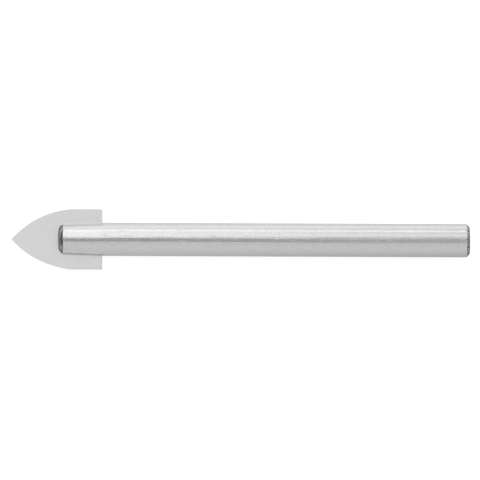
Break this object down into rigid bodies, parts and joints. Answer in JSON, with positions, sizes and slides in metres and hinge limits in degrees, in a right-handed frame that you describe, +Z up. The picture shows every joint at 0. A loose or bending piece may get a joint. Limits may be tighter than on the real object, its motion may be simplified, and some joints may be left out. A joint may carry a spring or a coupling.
{
  "type": "glass and tile drill bit",
  "caption": "Spear-point drill bit for glass and tile: a round plated steel shank with a flat lance-shaped carbide tip brazed into a slot across its front end.",
  "frame": {"origin": "on the surface that the bit lies on, below the middle of its overall length", "axes": "+X along the bit's axis from the point towards the rear end of the shank, +Y across the axis, towards the raised side of the tip plate, +Z up; the plate is rolled 22.8 degrees about X from level, so that its rear corner at -Y touches the surface"},
  "size_m": [0.0907, 0.0118, 0.0066],
  "materials": {
    "plated_steel": "bright plated drawn steel, faint lines along its length",
    "tungsten_carbide": "fine ground sintered carbide, matte light grey",
    "braze_metal": "silver braze, dulled by flux and slightly lumpy"
  },
  "bodies": {
    "root": {"shank": "plated_steel", "carbide_tip": "tungsten_carbide", "braze": "braze_metal"}
  },
  "joints": []
}
